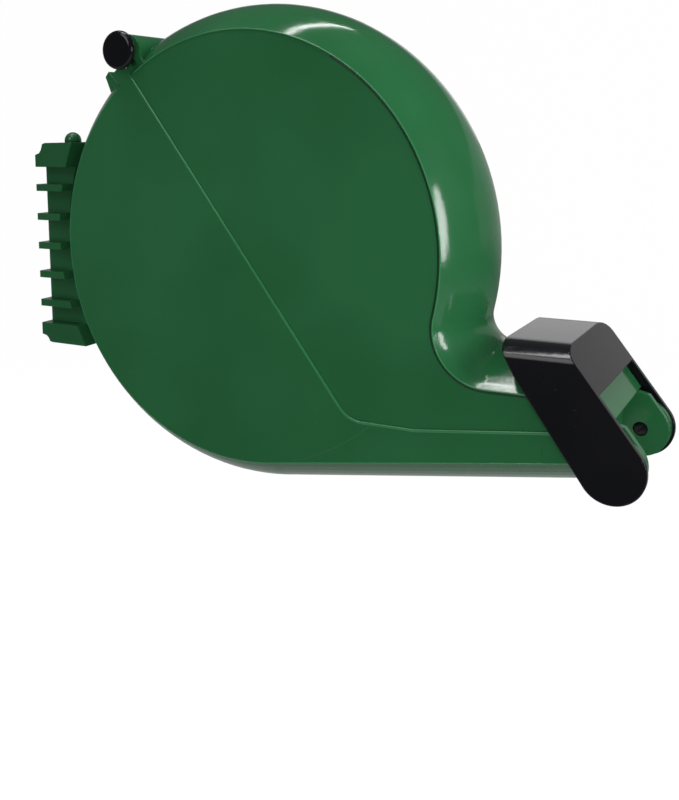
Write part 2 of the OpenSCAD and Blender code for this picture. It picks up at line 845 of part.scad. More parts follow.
module hinge_pin(side)
    color(black)
        in_place()
            disc_at([hinge_x, hinge_z], hinge_pin_d / 2,
                    side > 0 ? lid_ear_in + slack : -cap_in - cap_wall + 1,
                    side > 0 ? cap_in + cap_wall - 1 : -lid_ear_in - slack);
module hinge_pin_near() hinge_pin(-1);
module hinge_pin_far() hinge_pin(1);

// ---- latch ----

module latch_button()
    color(black)
        in_place()
            translate([latch[0], -button_back, latch[1]])
                rotate([90, 0, 0])
                    difference() {
                        union() {
                            rotate_extrude()
                                polygon(concat([[0, 0], [button_d / 2 - 1.2, 0],
                                                [button_d / 2, 1.2]],
                                               [for (i = [0 : 6]) let(t = 90 * i / 6)
                                                [button_d / 2 - edge_r + edge_r * cos(t),
                                                 button_h - edge_r + edge_r * sin(t)]],
                                               [[0, button_h]]));
                            translate([0, 0, -button_back + lug_half - shank_in])
                                cylinder(h = button_back - lug_half + shank_in + 0.5,
                                         r = spring_bore_r - slack);
                        }
                        translate([0, 0, -10])
                            cylinder(h = 10 + button_h - 2, d = latch_rod_d);
                    }

module latch_rod()
    color(steel)
        in_place()
            disc_at(latch, latch_rod_d / 2, -button_back - button_h + 2, lug_half + slack + 2.5);

module latch_end_cap()
    color(black)
        in_place()
            difference() {
                disc_at(latch, lug_r - 1, lug_half + slack, lug_half + slack + 3.5);
                disc_at(latch, latch_rod_d / 2, lug_half - cut, lug_half + slack + 2.5);
            }

// Collar on the rod with a finger that follows the rim down to the base's lip
module latch_catch()
    color(steel)
        in_place()
            difference() {
                across(-catch_half, catch_half) {
                    translate(latch)
                        circle(r = latch_rod_d);
                    difference() {
                        ring_piece(drum_r + slack + 0.1, drum_r + 3.2, latch_angle - 1,
                                   keeper_angle - 0.35);
                        translate(latch)
                            circle(d = latch_rod_d);
                    }
                }
                disc_at(latch, latch_rod_d / 2, -half, half);
            }

// Open coil between the button's shank and the foot of its bore, as one swept tube

module latch_spring() {
    n = spring_turns * spring_steps;
    sides = 6;
    points = [for (i = [0 : n]) let(a = 360 * i / spring_steps)
              for (k = [0 : sides - 1]) let(b = 360 * k / sides,
                  r = spring_mean_r + spring_wire / 2 * cos(b))
              [latch[0] + r * cos(a), spring_y0 + spring_rise * i / n + spring_wire / 2 * sin(b),
               latch[1] + r * sin(a)]];
    sweep = [for (i = [0 : n - 1]) for (k = [0 : sides - 1]) let(a = i * sides, k2 = (k + 1) % sides)
             each [[a + k, a + sides + k2, a + k2], [a + k, a + sides + k, a + sides + k2]]];
    ends = [[for (k = [0 : sides - 1]) k], [for (k = [sides - 1 : -1 : 0]) n * sides + k]];
    color(steel)
        in_place()
            polyhedron(points, concat(sweep, ends));
}

// ---- ticket roll ----

module ticket_roll()
    color(white)
        in_place()
            ring_at([0, 0], roll_r, core_r, -ticket_w / 2, ticket_w / 2);

module roll_core()
    color(card)
        in_place()
            ring_at([0, 0], core_r, core_bore_r, -ticket_w / 2, ticket_w / 2);

module roll_spindle()
    color(white)
        in_place()
            disc_at([0, 0], spindle_r, -half + wall + slack, half - wall - slack);

// Flanged plug in one end of the core, pierced by round windows
module hub(side) {
    face = ticket_w / 2;
    window_place = (core_bore_r + spindle_r) / 2;
    color(white)
        in_place()
            scale([1, side, 1])
                difference() {
                    union() {
                        disc_at([0, 0], hub_flange_r, face, face + hub_flange_t);
                        disc_at([0, 0], core_bore_r, face - hub_depth, face);
                    }
                    disc_at([0, 0], spindle_r, 0, half);
                    ring_at([0, 0], core_bore_r - hub_wall, spindle_r + hub_wall, 0, face - 1);
                    for (a = [0 : 60 : 300])
                        disc_at(window_place * [cos(a), sin(a)], hub_window_r, 0, half);
                }
}
module hub_near() mirror([0, 1, 0]) hub(1);
module hub_far() hub(1);

// Free end of the paper: off the roll, over the guide roller and along the plate to the mouth
module ticket_strip() {
    over = [for (i = [0 : 3]) let(t = strip_angle + 180 - (strip_angle + 90 + plate_fall) * i / 3)
            roller + strip_roller_r * [cos(t), sin(t)]];
    path = concat([strip_leaves], over,
                  [for (x = [plate_start, strip_end]) [x, strip_z(x)]]);
    color(white)
        in_place()
            across(-ticket_w / 2, ticket_w / 2)
                polygon(concat([for (p = path) p - [0, lay]],
                               [for (i = [len(path) - 1 : -1 : 0]) path[i] + [0, lay]]));
}

// ---- guides ----

module guide_roller()
    color(white)
        in_place()
            difference() {
                disc_at(roller, roller_r, -ticket_w / 2 - 1, ticket_w / 2 + 1);
                disc_at(roller, axle_d / 2 + pin_gap, -half, half);
            }

module guide_axle()
    color(steel)
        in_place()
            disc_at(roller, axle_d / 2, -half + wall / 2 + 0.2, half - wall / 2 - 0.2);

// Puts its children at a guide plate screw, pointing down from the plate's upper face
module guide_screw_at(side)
    translate([guide_screw_x, side * (ticket_w / 2 + plate_w / 2) / 2, plate_z(guide_screw_x)])
        rotate([0, plate_fall, 0])
            mirror([0, 0, 1])
                children();

module guide_plate()
    color(steel)
        in_place()
            difference() {
                intersection() {
                    across(-half, half)
                        polygon([for (c = [[plate_start, 0], [plate_end, 0],
                                           [plate_end, plate_t], [plate_start, plate_t]])
                                 [c[0], plate_z(c[0]) - c[1]]]);
                    translate([plate_start, 0, -2 * drum_r])
                        linear_extrude(4 * drum_r) {
                            translate([0, -plate_w / 2])
                                square([plate_wide_len, plate_w]);
                            translate([0, -plate_front_w / 2])
                                square([plate_end - plate_start, plate_front_w]);
                        }
                }
                for (s = [-1, 1])
                    guide_screw_at(s) translate([0, 0, -cut]) cylinder(h = 4, d = screw_d);
            }

module screw(shank) {
    translate([0, 0, -screw_head_h])
        cylinder(h = screw_head_h, d = screw_head_d);
    cylinder(h = shank, d = screw_d);
}

module guide_screws()
    color(steel)
        in_place()
            for (s = [-1, 1]) guide_screw_at(s) screw(plate_t + screw_hold);

// Puts its children at a brake leaf screw, pointing up into the seat
module brake_screw_at(side)
    translate([(seat_x0 + seat_x1) / 2, side * leaf_w / 4, seat_z])
        children();

module brake_spring()
    color(steel)
        in_place()
            difference() {
                across(-leaf_w / 2, leaf_w / 2) {
                    low = plate_z(leaf_touch_x) + paper_t + slack + 0.1;
                    path = [[seat_x0, seat_z - leaf_t], [seat_x1, seat_z - leaf_t],
                            [seat_x1 + 4, seat_z - leaf_t - 3], [leaf_touch_x - 2, low + 2],
                            [leaf_touch_x, low], [leaf_touch_x + 3, low + 1.5]];
                    polygon(concat(path, [for (i = [len(path) - 1 : -1 : 0])
                                          path[i] + [i > 1 ? leaf_t : 0, leaf_t]]));
                }
                for (s = [-1, 1])
                    brake_screw_at(s) translate([0, 0, -5]) cylinder(h = 10, d = screw_d);
            }

module brake_screws()
    color(steel)
        in_place()
            for (s = [-1, 1])
                brake_screw_at(s) translate([0, 0, -leaf_t]) screw(leaf_t + screw_hold);

wall_bracket();
bracket_pin();
pin_clip();
swivel_washers();
base_shell();
lid_shell();
mouth_cap();
hinge_pin_near();
hinge_pin_far();
latch_button();
latch_rod();
latch_spring();
latch_catch();
latch_end_cap();
ticket_roll();
roll_core();
roll_spindle();
hub_near();
hub_far();
ticket_strip();
guide_roller();
guide_axle();
guide_plate();
guide_screws();
brake_spring();
brake_screws();
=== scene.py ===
# %% [markdown]
# # A wall-held ticket dispenser
# A shop counter's "take a number" box is a flat drum of moulded plastic with a short neck. A roll
# of paper tickets turns inside it, and the end of the paper comes out of the neck's mouth. The
# solids come from the CAD part and have the true sizes. This script gives them rounded edges,
# smooth curves and finishes, adds the fine edge lines and the print, and lights them.

# %% Load the packed part
import json
import math

import bmesh
import bpy
import numpy as np
from mathutils import Matrix, Vector


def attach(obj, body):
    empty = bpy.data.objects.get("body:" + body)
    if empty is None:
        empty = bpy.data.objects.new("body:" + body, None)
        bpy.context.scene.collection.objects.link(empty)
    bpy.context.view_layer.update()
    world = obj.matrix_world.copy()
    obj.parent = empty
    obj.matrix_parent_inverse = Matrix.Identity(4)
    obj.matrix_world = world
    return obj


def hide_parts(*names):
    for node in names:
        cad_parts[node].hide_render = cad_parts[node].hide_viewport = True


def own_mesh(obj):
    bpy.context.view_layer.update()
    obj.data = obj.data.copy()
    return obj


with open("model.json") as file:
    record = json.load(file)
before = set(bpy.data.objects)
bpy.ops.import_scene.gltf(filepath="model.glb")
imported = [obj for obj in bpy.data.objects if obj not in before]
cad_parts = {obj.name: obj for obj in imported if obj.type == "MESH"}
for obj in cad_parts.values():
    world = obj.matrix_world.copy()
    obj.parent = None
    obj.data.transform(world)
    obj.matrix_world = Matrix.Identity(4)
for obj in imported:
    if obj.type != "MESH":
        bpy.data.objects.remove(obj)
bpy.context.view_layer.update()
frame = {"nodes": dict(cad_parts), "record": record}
nodes = frame["nodes"]
body_of_node = {n: b for b, ns in frame["record"]["behaviour"]["bodies"].items() for n in ns}

# %% [markdown]
# ## Measures used again and again
# Most of the box is drawn about the axis of the drum, so its curves are easiest in a frame of their
# own: x along the nose and z up, counted from that axis in millimetres. `DRUM` is where the axis
# stands in the part's frame, in metres. Numbers counted from the wall would work as well, but they
# would hide which shapes share a centre.

# %% Named measures
MM = 0.001
DRUM = Vector((0.118, 0.0, 0.005))


def placed(name, data):
    """A new object with this data, linked to the scene."""
    obj = bpy.data.objects.new(name, data)
    bpy.context.scene.collection.objects.link(obj)
    return obj


print("drum axis in mm", [round(c / MM, 1) for c in DRUM])

# %% [markdown]
# ## Camera
# The camera stands about 42 cm from the drum, 31 degrees round from the side panel towards the
# nose, and a little above it. It could be moved by eye until the picture looks right. Here its
# place comes from a fit to the drum's two circles, the seam and the ribs of the bracket, so
# proportions can be compared. The lens axis passes left of and above the middle of the frame, and
# a lens shift puts it there without turning the camera.

# %% Camera
PHOTO = (679, 800)
FOCAL_PX = 974.73
AXIS_PX = (290.0, 240.0)
SENSOR_MM = 36
STAND = dict(distance=0.41896, azimuth=0.539643, elevation=0.115865,
             turn=-0.0202129, tilt=-0.00199619, roll=-0.0135778)


def facing(azimuth, elevation):
    """Unit vector from the object to a camera at this azimuth and elevation, in radians."""
    return Vector((math.sin(azimuth) * math.cos(elevation),
                   -math.cos(azimuth) * math.cos(elevation), math.sin(elevation)))


camera = placed("camera", bpy.data.cameras.new("camera"))
back = facing(STAND["azimuth"] + STAND["turn"], STAND["elevation"] + STAND["tilt"])
level = Vector((math.cos(STAND["azimuth"] + STAND["turn"]),
                math.sin(STAND["azimuth"] + STAND["turn"]), 0))
upright = back.cross(level)
cr, sr = math.cos(STAND["roll"]), math.sin(STAND["roll"])
right, up = level * cr + upright * sr, upright * cr - level * sr
camera.matrix_world = Matrix.Translation(
    DRUM + STAND["distance"] * facing(STAND["azimuth"], STAND["elevation"])
) @ Matrix((right, up, back)).transposed().to_4x4()
camera.data.sensor_width = SENSOR_MM
camera.data.lens = FOCAL_PX / max(PHOTO) * SENSOR_MM
camera.data.shift_x = (PHOTO[0] / 2 - AXIS_PX[0]) / max(PHOTO)
camera.data.shift_y = -(PHOTO[1] / 2 - AXIS_PX[1]) / max(PHOTO)
camera.data.clip_start = 0.01
bpy.context.scene.camera = camera
print("camera at", [round(c, 3) for c in camera.location], "lens", round(camera.data.lens, 2))

# %% [markdown]
# ## Shader maths as plain expressions
# A node tree can be built link by link, but then the formula is lost among the sockets. `Wire`
# wraps one output socket and adds a Math node for each operator, so a roughness reads as a sum.

# %% Wires


class Wire:
    """An output socket. Arithmetic on wires adds Math nodes to the material."""

    def __init__(self, finish, socket):
        self.finish, self.socket = finish, socket

    def maths(self, operation, *values):
        """The result of one Math node, whose inputs are wires or numbers."""
        return self.finish.add("Math", {"operation": operation}, dict(enumerate(values)))

    def __add__(self, other):
        return self.maths("ADD", self, other)

    def __radd__(self, other):
        return self.maths("ADD", other, self)

    def __sub__(self, other):
        return self.maths("SUBTRACT", self, other)

    def __mul__(self, other):
        return self.maths("MULTIPLY", self, other)

    def __rmul__(self, other):
        return self.maths("MULTIPLY", other, self)

    def __pow__(self, other):
        return self.maths("POWER", self, other)

    def above(self, edge, soft):
        """0 below edge, 1 above edge + soft, straight between."""
        return self.finish.add("MapRange", {}, {0: self, 1: edge, 2: edge + soft})

    def twin(self, output):
        """Another output of the same node."""
        return Wire(self.finish, self.socket.node.outputs[output])


print("wires can be joined by + - * and **")

# %% [markdown]
# ## One class for all finishes
# Every finish ends in the Principled shader, and most need the same few tools: noise of a given
# grain, fine scratches, a mix of two colours and soft normals at the edges. They are methods of
# `Finish`, in metres of the real object, so that a grain has its true size. Numbers that never
# change are set straight on the shader's sockets.

# %% Finishes


class Finish:
    """A material with its Principled shader; the methods add nodes and return wires."""

    def __init__(self, name):
        self.material = bpy.data.materials.new(name)
        self.material.use_nodes = True
        self.tree = self.material.node_tree
        self.shader = self.tree.nodes["Principled BSDF"]

    def add(self, kind, settings, sockets, out=0):
        """A new node: settings go to its properties, sockets to its inputs; gives output out."""
        node = self.tree.nodes.new("ShaderNode" + kind)
        for key, value in settings.items():
            setattr(node, key, value)
        for key, value in sockets.items():
            if isinstance(value, Wire):
                self.tree.links.new(value.socket, node.inputs[key])
            else:
                node.inputs[key].default_value = value
        return Wire(self, node.outputs[out])

    def place(self):
        """Where a point lies on the part at rest, in metres."""
        return self.add("TexCoord", {}, {}, "Object")

    def noise(self, size, detail=3.0, stretch=(1, 1, 1)):
        """Noise whose grains are about size metres, drawn out where stretch is under 1."""
        spot = self.add("Mapping", {}, {"Vector": self.place(), "Scale": stretch})
        return self.add("TexNoise", {}, {"Vector": spot, "Scale": 1 / size, "Detail": detail})

    def scratches(self, lean, edge):
        """Thin long marks in the side plane, leaning by this many degrees from level.

        The place is turned by lean, noise is drawn out along the turned x, and what rises above
        edge is a mark.
        """
        turned = self.add("Mapping", {}, {"Vector": self.place(),
                                          "Rotation": (0, math.radians(lean), 0)})
        drawn = self.add("Mapping", {}, {"Vector": turned, "Scale": (0.012, 0.4, 1)})
        lines = self.add("TexNoise", {}, {"Vector": drawn, "Scale": 1 / (0.6 * MM), "Detail": 0.0})
        return lines.above(edge, 0.05)

    def mix(self, share, low, high):
        """A colour between low and high."""
        low, high = [c if isinstance(c, Wire) else (*c, 1) for c in (low, high)]
        return self.add("Mix", {"data_type": "RGBA"}, {0: share, 6: low, 7: high}, 2)

    def rounded(self, radius):
        """Normals that turn softly over sharp edges, as a moulded edge does."""
        return self.add("Bevel", {"samples": 6}, {"Radius": radius})

    def bump(self, height, depth, normal):
        """Normals bent by a height from 0 to 1, where 1 stands for depth metres."""
        return self.add("Bump", {}, {"Height": height, "Distance": depth, "Strength": 1.0,
                                     "Normal": normal})

    def wire(self, **links):
        """Wires to the shader's inputs, by name with _ for a space."""
        for name, value in links.items():
            self.tree.links.new(value.socket, self.shader.inputs[name.replace("_", " ")])
        return self

    def fixed(self, **values):
        """Fixed numbers on the shader's inputs, by name with _ for a space."""
        for name, value in values.items():
            self.shader.inputs[name.replace("_", " ")].default_value = value
        return self


print("finish tools", [name for name in vars(Finish) if not name.startswith("_")])

# %% [markdown]
# ## Moulded plastics
# The green shells are injection moulded in a polished tool: gloss, with a faint orange peel, a few
# fine handling scratches and some dust. A picture wrapped round them would bring its own light
# along, so the finish is worked out from noise. Colour hardly changes over a moulding: its noise is
# weak and large, and most of the life comes from roughness and bump.

# %% Moulded finishes


def moulded(name, deep, pale, gloss, peel=0.02 * MM, dust=0.08, edge=0.45 * MM, shine=0.5):
    """Gloss plastic: two near shades, orange peel, fine scratches and specks of dust.

    roughness = gloss + 0.05 noise + worn (0.03 scratches + 0.06 specks). peel is the height of the
    orange peel, edge the radius of the softened edges, and shine the strength of the reflection.
    """
    f = Finish(name)
    cloud = f.noise(60 * MM, 2.0)
    specks = f.noise(0.9 * MM, 2.0).above(0.70, 0.05)
    worn = f.noise(25 * MM, 3.0).above(0.45, 0.3)
    scratch = f.scratches(37, 0.72) + f.scratches(-24, 0.74)
    shade = f.mix(cloud.above(0.35, 0.3), deep, pale)
    dusty = f.mix(specks * worn * dust, shade, (0.35, 0.42, 0.36))
    rough = gloss + 0.05 * f.noise(12 * MM, 4.0) + worn * (0.03 * scratch + 0.06 * specks)
    grain = f.noise(2.2 * MM, 2.0)
    f.wire(Base_Color=dusty, Roughness=rough,
           Normal=f.bump(grain, peel, f.rounded(edge)))
    return f.fixed(Specular_IOR_Level=shine)


green = moulded("green_gloss", (0.012, 0.082, 0.027), (0.016, 0.098, 0.035), 0.095, shine=0.45)
# Paler green for the edge beads: a painted highlight on a real raised edge, as the moulding is one
# green.
highlight_green = moulded("painted_highlight_gloss", (0.021, 0.130, 0.048), (0.026, 0.150, 0.056), 0.16)
# Near-black green for the bead inside the lid's panel: painted shade, standing for the shade in its
# step.
shade_green = moulded("painted_shade_gloss", (0.003, 0.024, 0.008), (0.005, 0.032, 0.011), 0.30)
bracket_green = moulded("bracket_gloss", (0.012, 0.072, 0.026), (0.016, 0.090, 0.032), 0.22,
                        dust=0.2, shine=0.4)
black = moulded("black_gloss", (0.003, 0.003, 0.004), (0.005, 0.005, 0.006), 0.10, dust=0.05,
                edge=0.8 * MM, shine=0.33)
white = moulded("white_satin", (0.70, 0.70, 0.67), (0.78, 0.78, 0.75), 0.38, dust=0.1)
print("moulded finishes", [f.material.name for f in (green, highlight_green, shade_green,
                                                     bracket_green, black, white)])

# %% [markdown]
# ## Metal, paper and card
# The rod, the screws and the two sheet pieces are zinc plated, so they are metal with a fine grain.
# The roll's flat sides are the edges of the wound paper: rings about the roll's axis, each layer a
# little darker or lighter. Rings could be cut into the mesh, but hundreds of sheets of paper are
# too fine for it. A noise of the distance from the axis gives them at any size. Paper seen on its
# face shows only soft fibres.

# %% Steel, paper and card


def plated(name):
    """Zinc plate: a fine grain drawn out along x, and two greys that change over some 8 mm."""
    f = Finish(name)
    grain = f.noise(0.25 * MM, 2.0, (0.08, 1, 1))
    stain = f.noise(8 * MM, 3.0)
    f.wire(Base_Color=f.mix(stain.above(0.4, 0.3), (0.46, 0.46, 0.47), (0.62, 0.62, 0.63)),
           Roughness=0.22 + 0.16 * grain, Normal=f.bump(grain, 0.01 * MM, f.rounded(0.15 * MM)))
    return f.fixed(Metallic=1.0)


def from_axis(f):
    """Distance of a point from the drum's axis in metres: the root of x squared + z squared."""
    place = f.add("SeparateXYZ", {}, {0: f.place()})
    x = place - DRUM.x
    z = place.twin(2) - DRUM.z
    return (x * x + z * z) ** 0.5


def wound(name, deep, pale, layer):
    """Wound sheet: 0.7 rings + 0.3 fibres, both in the colour and in the bump."""
    f = Finish(name)
    fibres = f.noise(0.6 * MM, 4.0)
    ring = f.add("TexNoise", {"noise_dimensions": "1D"},
                 {"W": from_axis(f), "Scale": 1 / layer, "Detail": 3.0})
    share = 0.7 * ring + 0.3 * fibres
    f.wire(Base_Color=f.mix(share.above(0.3, 0.4), deep, pale),
           Normal=f.bump(share, 0.12 * MM, f.rounded(0.1 * MM)))
    return f.fixed(Roughness=0.8)


steel = plated("zinc_plate")
paper = wound("wound_paper", (0.62, 0.56, 0.57), (0.80, 0.75, 0.76), 0.35 * MM)
card = wound("wound_card", (0.34, 0.31, 0.29), (0.50, 0.46, 0.43), 0.6 * MM)
finishes = {"green_plastic": green.material, "bracket_plastic": bracket_green.material,
            "black_plastic": black.material, "white_plastic": white.material,
            "steel": steel.material, "paper": paper.material, "cardboard": card.material}
print("finishes", sorted(finishes))

# %% [markdown]
# ## Dressing the CAD nodes
# Most nodes have the right shape, so they keep their mesh and only get their finish. The record
# says which material slot each node takes, so one loop dresses them all, and none is forgotten.

# %% Finish every node
slot_of = {s["node"]: s["material_slot"] for s in frame["record"]["subparts"]}
for name, obj in nodes.items():
    obj.data.materials.clear()
    obj.data.materials.append(finishes[slot_of[name]])
print("dressed", len(slot_of), "nodes")

# %% [markdown]
# ## Smooth skins for the curved mouldings
# The CAD mesh keeps its faces apart, so a glossy curve shows the flat strips it is made of. A finer
# CAD mesh would only make the strips narrower. A skin is a copy of the mesh with its doubled points
# merged: edges sharper than a set angle stay sharp, and the rest is shaded smooth. The two shells
# have shallow steps, so their angle is small. Where the real edge is visibly rounded, on the cap
# and the bracket, a Bevel modifier gives it a radius.

# %% Skins
ROUND_PIECES = ("latch_button", "bracket_pin", "guide_roller", "ticket_roll", "roll_core",
                "roll_spindle", "hub_near", "hub_far", "hinge_pin_near", "hinge_pin_far",
                "latch_end_cap", "latch_rod", "guide_axle", "latch_spring")
SAME_POINT = 2e-6


def skin(node, crease=28, bevel=0.0, flatten=False):
    """A merged, smooth-shaded copy of a node that stands for it."""
    mesh = nodes[node].data.copy()
    work = bmesh.new()
    work.from_mesh(mesh)
    bmesh.ops.remove_doubles(work, verts=work.verts, dist=SAME_POINT)
    if flatten:
        bmesh.ops.dissolve_limit(work, angle_limit=math.radians(0.3), verts=work.verts,
                                 edges=work.edges)
    work.to_mesh(mesh)
    work.free()
    mesh.shade_smooth()
    mesh.set_sharp_from_angle(angle=math.radians(crease))
    obj = placed(node + "_skin", mesh)
    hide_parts(node)
    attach(obj, body_of_node[node])
    if bevel:
        rounding = obj.modifiers.new("rounded edges", "BEVEL")
        rounding.width, rounding.segments = bevel, 3
        rounding.limit_method, rounding.angle_limit = "ANGLE", math.radians(30)
    even = obj.modifiers.new("even shading", "WEIGHTED_NORMAL")
    even.keep_sharp, even.weight = True, 100
    return obj


skins = {name: skin(name) for name in ROUND_PIECES}
skins["base_shell"] = skin("base_shell", crease=10)
skins["lid_shell"] = skin("lid_shell", crease=16)
skins["mouth_cap"] = skin("mouth_cap", bevel=1.3 * MM, flatten=True)
skins["wall_bracket"] = skin("wall_bracket", bevel=0.4 * MM, flatten=True)
print("skins", {n: len(o.data.vertices) for n, o in skins.items()})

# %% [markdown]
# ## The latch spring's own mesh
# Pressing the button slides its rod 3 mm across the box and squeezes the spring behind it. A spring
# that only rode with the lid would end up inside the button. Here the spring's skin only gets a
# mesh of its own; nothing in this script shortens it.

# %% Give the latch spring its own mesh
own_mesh(skins["latch_spring"])

# %% [markdown]
# ## Surfaces from grids of points
# New shapes are grids of points from formulas, computed as whole arrays. Modelling by hand would be
# quick once, but a formula moves with the measures above. `surface` turns a grid into a mesh, and
# `stands_on` hangs the piece on its body.

# %% Grid tools


def grid_faces(rows, columns, closed=False):
    """Quads between neighbouring rows and columns of a grid of points.

    Point (r, c) has number r * columns + c; closed joins the last column to the first.
    """
    i = np.arange(rows * columns).reshape(rows, columns)
    j = np.roll(i, -1, 1) if closed else i[:, 1:]
    a = i if closed else i[:, :-1]
    return np.stack([a[:-1], j[:-1], j[1:], a[1:]], -1).reshape(-1, 4)


def surface(name, grid, material, closed=False):
    """A smooth mesh object from a grid of points in metres."""
    mesh = bpy.data.meshes.new(name)
    rows, columns = grid.shape[:2]
    mesh.from_pydata(grid.reshape(-1, 3), [], grid_faces(rows, columns, closed).tolist())
    mesh.shade_smooth()
    mesh.materials.append(material)
    return placed(name, mesh)


def stands_on(obj, body):
    """Hang a new piece on a body."""
    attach(obj, body)
    return obj


print("a closed grid of 3 by 4 points has", len(grid_faces(3, 4, closed=True)), "faces")

# %% [markdown]
# ## Swept beads
# A moulded edge that catches the light is a thin raised line. A curve object with a round bevel
# could draw it, but its section would be a full circle that stands too high. `bead` sweeps a flat
# ellipse instead, and lets its ends taper to nothing, so that it is a closed piece.

# %% Bead tools


def arc(centre, radius, start, stop, count=40):
    """Points centre + radius (cos t, sin t), with t from start to stop in degrees."""
    t = np.radians(np.linspace(start, stop, count))
    return np.asarray(centre) + radius * np.stack([np.cos(t), np.sin(t)], -1)


def bead_grid(path, y, width, height, around=12):
    """Ellipse swept along path, an n x 2 array of x and z about the drum's axis, in mm.

    At point p with unit normal n the section is p + n w/2 cos a across and y + h sin a outwards,
    and both w and h fall to 0 as the square root of the distance to the nearer end.
    """
    step = np.linalg.norm(np.diff(path, axis=0), axis=1)
    path = path[np.r_[True, step > 1e-3]]
    along = np.gradient(path, axis=0)
    along /= np.linalg.norm(along, axis=1)[:, None]
    normal = np.stack([-along[:, 1], along[:, 0]], -1)
    run = np.r_[0, np.cumsum(np.linalg.norm(np.diff(path, axis=0), axis=1))]
    end = np.sqrt(np.clip(np.minimum(run, run[-1] - run) / width, 1e-6, 1))
    a = np.linspace(0, 2 * np.pi, around, endpoint=False)
    across = (end * width / 2)[:, None] * np.cos(a)
    grid = np.empty((len(path), around, 3))
    grid[..., 0] = path[:, :1] + normal[:, :1] * across
    grid[..., 2] = path[:, 1:] + normal[:, 1:] * across
    grid[..., 1] = y + (end * height)[:, None] * np.sin(a)
    return grid * MM + np.array(DRUM)


def bead(name, path, y, width, height, body, finish):
    """A bead along path that rides on a body."""
    obj = surface(name, bead_grid(path, y, width, height), finish, closed=True)
    return stands_on(obj, body)


print("quarter arc of radius 2 ends at", arc([0, 0], 2, 0, 90)[-1].round(3).tolist())

# %% [markdown]
# ## Where the edge lines run
# The seam between base and lid is straight, bends with a 12 mm radius and rises along the neck. The
# lid's sunk panel is bounded by the drum's circle, a round throat and the top of the neck. The
# base's panel follows the drum and then the rising floor of the neck. Picking edges out of the mesh
# would also give these lines, but it breaks when the mesh changes, so they are drawn from measures.

# %% Paths of the edges, in mm from the drum's axis
PANEL_R, LID_STEP = 88.0, 0.2
SEAM_SLOPE, SEAM_OFF, SEAM_BEND = 53.2, 1.7, 12.0
NECK_SEAM, NECK_RISE, NECK_RUN = np.array([77.5, -64.3]), 7.0, 62.0
THROAT_AWAY, THROAT_TURN, THROAT_R = 108, 13.5, 20.2
THROAT = THROAT_AWAY * np.array([math.cos(math.radians(THROAT_TURN)),
                                 -math.sin(math.radians(THROAT_TURN))])
LID_END, BASE_END = 130, 138
FLOOR_FOOT, FLOOR_RISE = (15.64, -86.62), 9


def seam_path():
    """The seam from the panel's edge down to the knee, round it, and along the neck.

    The straight runs at SEAM_SLOPE below level, SEAM_OFF outside the axis, and meets the level of
    the neck's seam at the knee, where an arc of radius SEAM_BEND turns it level.
    """
    t = math.radians(SEAM_SLOPE)
    out, run = np.array([math.sin(t), math.cos(t)]), np.array([math.cos(t), -math.sin(t)])
    start = SEAM_OFF * out - PANEL_R * run
    knee = SEAM_OFF * out + run * (SEAM_OFF * out[1] - NECK_SEAM[1]) / -run[1]
    centre = knee + [SEAM_BEND * math.tan(t / 2), SEAM_BEND]
    bend = arc(centre, SEAM_BEND, 270 - SEAM_SLOPE, 270, 24)
    straight = np.linspace(start, bend[0], 60, endpoint=False)
    rise = [1, math.tan(math.radians(NECK_RISE))]
    neck = np.linspace(0, NECK_RUN, 40)[:, None] * rise + NECK_SEAM
    return np.concatenate([straight, bend, neck])


def lid_border(inside, start=124.6):
    """Edge of the lid's sunk panel, or a line this far inside it, from this angle to the nose."""
    throat = arc(THROAT, THROAT_R + inside, 180 - THROAT_TURN, 270, 40)
    neck = np.linspace(throat[-1], [LID_END, throat[-1][1]], 20)[1:]
    round_drum = arc([0, 0], PANEL_R - LID_STEP - inside, start, -THROAT_TURN, 150)[:-1]
    return np.concatenate([round_drum, throat, neck])


def base_border():
    """Edge of the base's panel: round the drum, then along the rising floor of the neck."""
    round_drum = arc([0, 0], PANEL_R, 131, 279, 150)
    x = np.linspace(round_drum[-1][0] + 2, BASE_END, 40)
    floor_edge = FLOOR_FOOT[1] + (x - FLOOR_FOOT[0]) * math.tan(math.radians(FLOOR_RISE))
    return np.concatenate([round_drum, np.stack([x, floor_edge], -1)])


print("path points", {"seam": len(seam_path()), "lid": len(lid_border(0)),
                      "base": len(base_border())})

# %% [markdown]
# ## Edge lines of the side panels
# Thin bright lines run along the seam and round the panels: the rounded edges of the mouldings,
# which catch the light. A smaller bevel radius on the shells would give a line too, but one that
# fades where the edge is shallow. Each line is therefore a shallow bead on the edge itself, on both
# sides of the housing. It is partly real and partly painted light: the raised bead catches the
# lamps, and its paler green is a painted highlight, as the moulding itself is one green. The
# seam's bead lies half a millimetre on the base's side, so the lid opens beside it. A low
# near-black bead inside the lid's panel is painted shade, which stands for the shade in its step.

# %% Edge beads
# name, path, middle plane to bead, width and height in mm, body, finish
# The seam and both panel borders are real raised beads, painted a paler green for the highlight
# they catch.
BEADS = (("seam_edge", seam_path(), 27.9, 1.3, 0.22, "base", highlight_green),
         ("lid_border", lid_border(0), 27.85, 0.7, 0.3, "lid", highlight_green),
         # The next bead is painted shade: a near-black line for the shade in the lid panel's step.
         ("lid_step_shade", lid_border(0.8, 60), 27.5, 0.8, 0.06, "lid", shade_green),
         ("base_border", base_border(), 27.75, 0.6, 0.3, "base", highlight_green))
edge_beads = [bead(f"{name}_{side}", path, sign * y, width, sign * height, body,
                   finish.material)
              for name, path, y, width, height, body, finish in BEADS
              for side, sign in (("near", -1), ("far", 1))]
print("edge beads", {o.name: len(o.data.polygons) for o in edge_beads})

# %% [markdown]
# ## What is printed on a ticket
# Each 50 mm ticket has a bar across its leading end, a large plain number, two small bars under it
# and a row of slits where it tears off. Text objects could write the number, but their letters have
# uneven faces that do not wrap well round a roll. All of the print is therefore made of small flat
# boxes, and a digit of up to seven of them, as on a pocket calculator.

